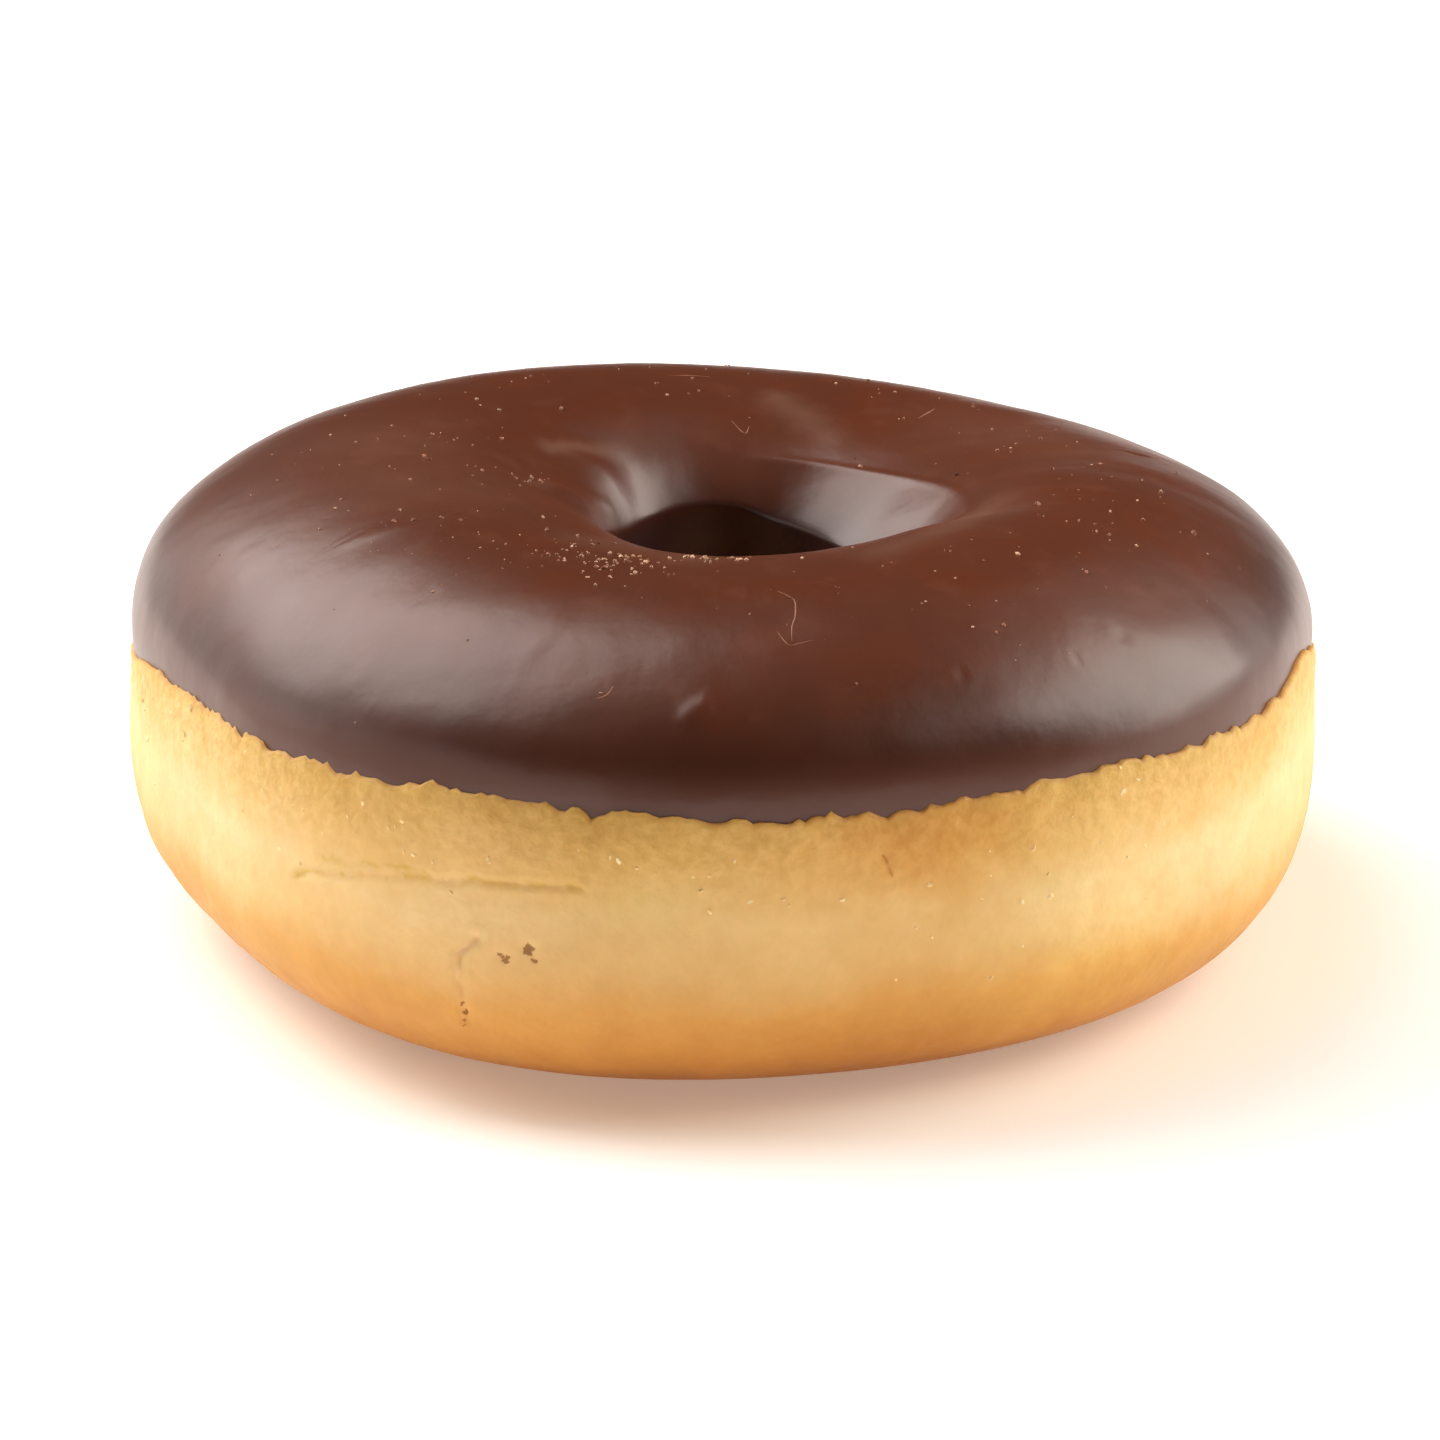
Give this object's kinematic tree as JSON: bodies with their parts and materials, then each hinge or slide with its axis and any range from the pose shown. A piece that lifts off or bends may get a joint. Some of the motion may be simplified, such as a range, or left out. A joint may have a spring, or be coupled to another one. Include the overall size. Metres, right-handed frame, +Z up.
{
  "type": "iced ring doughnut",
  "caption": "Raised ring doughnut with a flat foot, a central hole and a smooth chocolate icing cap over its upper third.",
  "frame": {"origin": "on the surface the doughnut rests on, under the middle of its box", "axes": "+Z up through the hole; the side shown in the picture faces -Y, and +X is to the right of it"},
  "size_m": [0.093, 0.0946, 0.0371],
  "materials": {
    "fried_dough": "fine-grained fried crust, pale along the middle of the side and golden brown above and below it",
    "chocolate_icing": "set milk-dark chocolate, smooth with a soft satin gloss"
  },
  "bodies": {
    "root": {"dough_ring": "fried_dough", "chocolate_icing": "chocolate_icing"}
  },
  "joints": []
}
